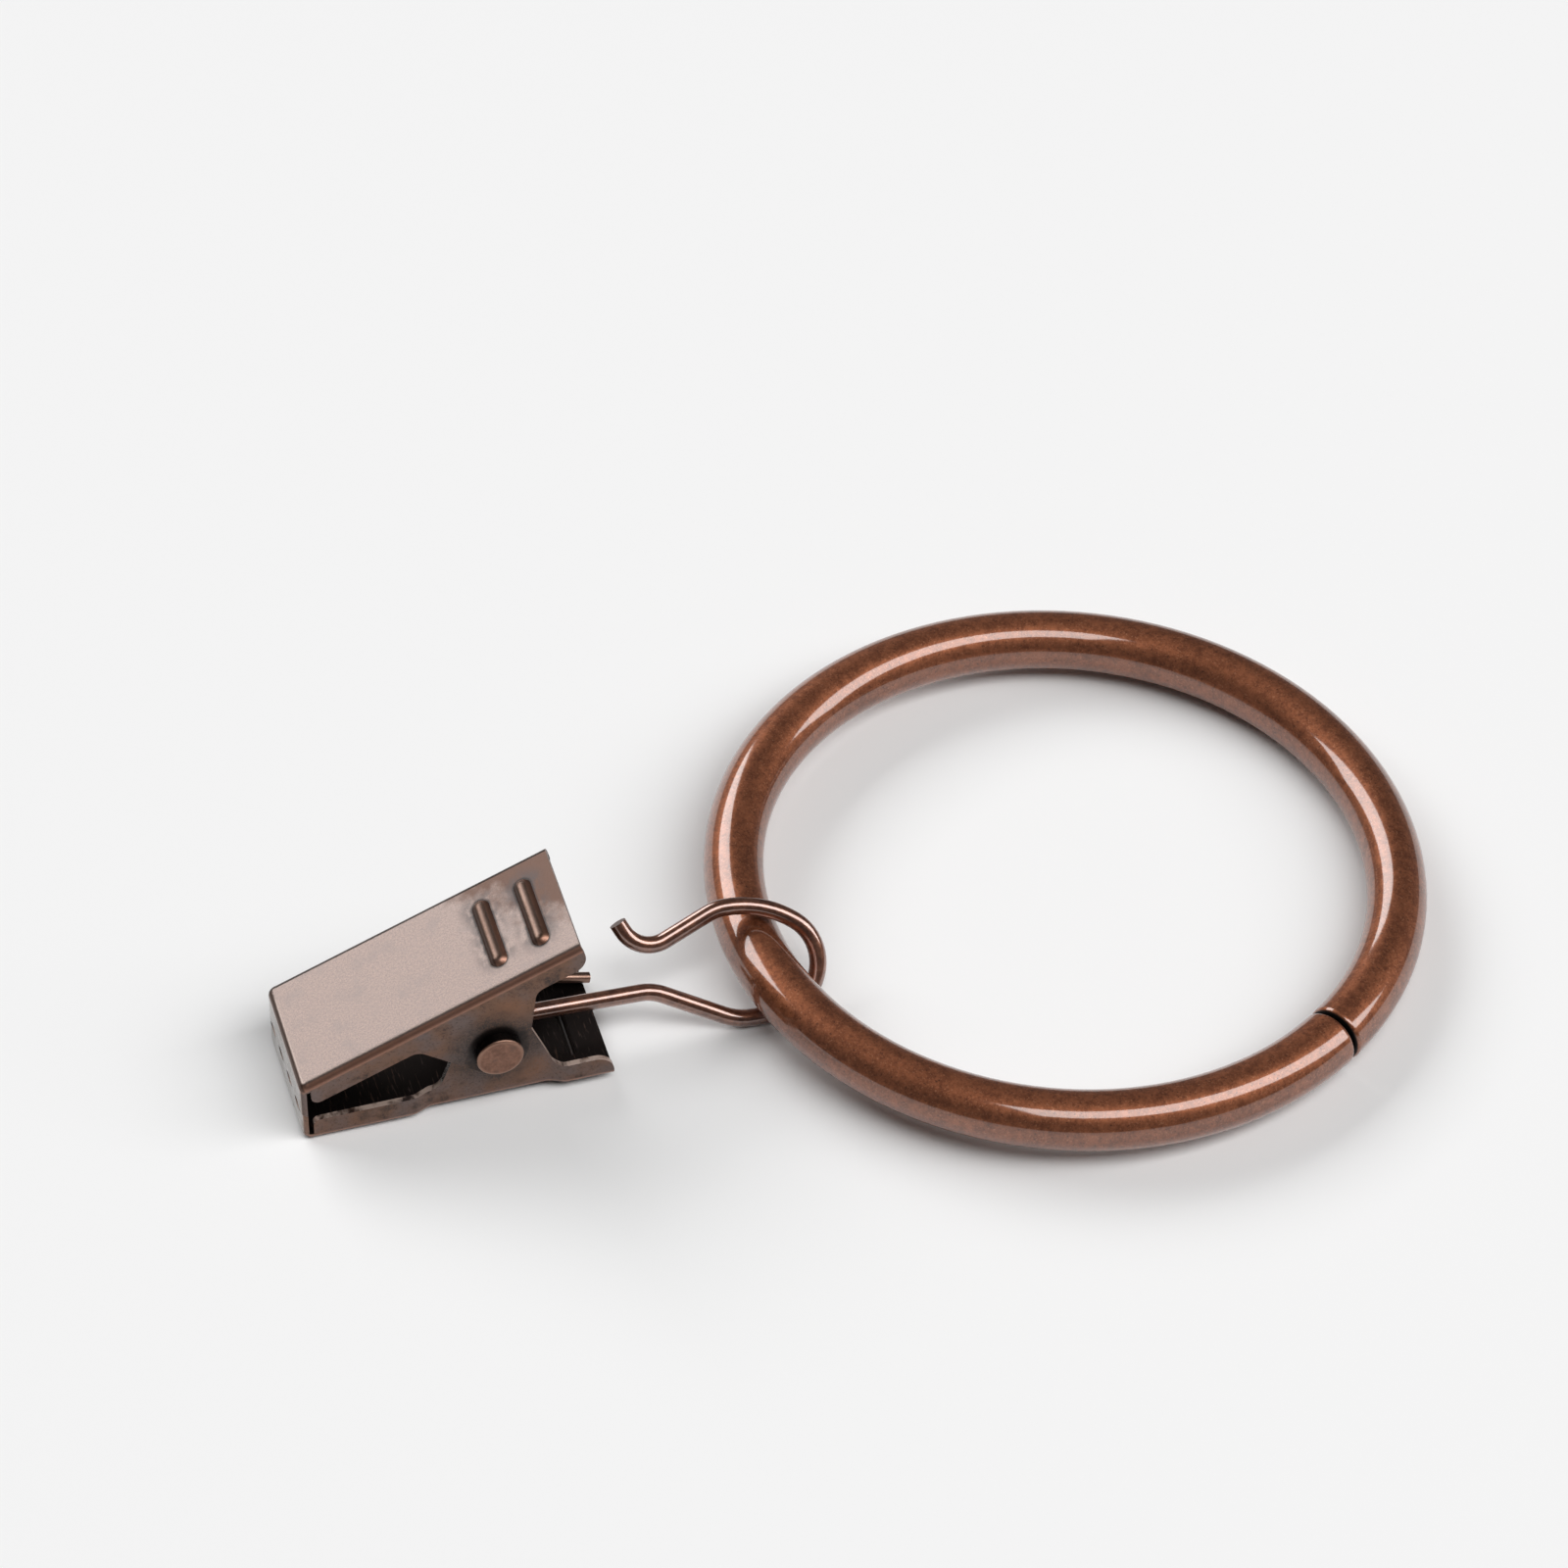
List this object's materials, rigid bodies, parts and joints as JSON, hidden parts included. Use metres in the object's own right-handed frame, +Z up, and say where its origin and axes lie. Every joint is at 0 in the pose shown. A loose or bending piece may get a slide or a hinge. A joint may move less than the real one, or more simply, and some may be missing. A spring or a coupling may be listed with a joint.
{
  "type": "curtain ring with clip",
  "caption": "Round metal curtain ring with a sprung jaw clip hung from it on an S-shaped wire hook; the ring runs on a rod and the clip grips the cloth.",
  "frame": {"origin": "on the table, in the middle of the plan of the whole part", "axes": "+X along the clip towards the ring, +Y along the rivet from its head to its rolled tail, +Z up"},
  "size_m": [0.074, 0.0456, 0.0126],
  "materials": {
    "ring_copper": "satin brown copper plating on steel",
    "hook_copper": "satin brown copper plating on steel wire",
    "jaw_copper": "satin brown copper plating on folded steel strip",
    "rivet_copper": "satin brown copper plating on steel",
    "spring_steel": "dull plated spring wire"
  },
  "bodies": {
    "ring": {"ring": "ring_copper"},
    "hook": {"hook": "hook_copper"},
    "lower_jaw": {"lower_jaw": "jaw_copper"},
    "upper_jaw": {"upper_jaw": "jaw_copper", "rivet": "rivet_copper", "torsion_spring": "spring_steel"}
  },
  "joints": [
    {"name": "hook_swing", "type": "hinge", "parent": "ring", "child": "hook", "pos_m": [-0.0064, -0.00298, 0.00313], "axis": [-0.1432, 0.9897, 0], "range_deg": [-120, 120]},
    {"name": "clip_pivot", "type": "hinge", "parent": "hook", "child": "lower_jaw", "pos_m": [-0.02465, -0.003, 0.00489], "axis": [0, 1, 0], "range_deg": [-10, 18]},
    {"name": "jaw_open", "type": "hinge", "parent": "lower_jaw", "child": "upper_jaw", "pos_m": [-0.02465, -0.003, 0.00489], "axis": [0, 1, 0], "range_deg": [0, 22], "stiffness_Nm_per_rad": 0.0008, "springref_deg": -28.65, "deforming": ["torsion_spring"]}
  ]
}
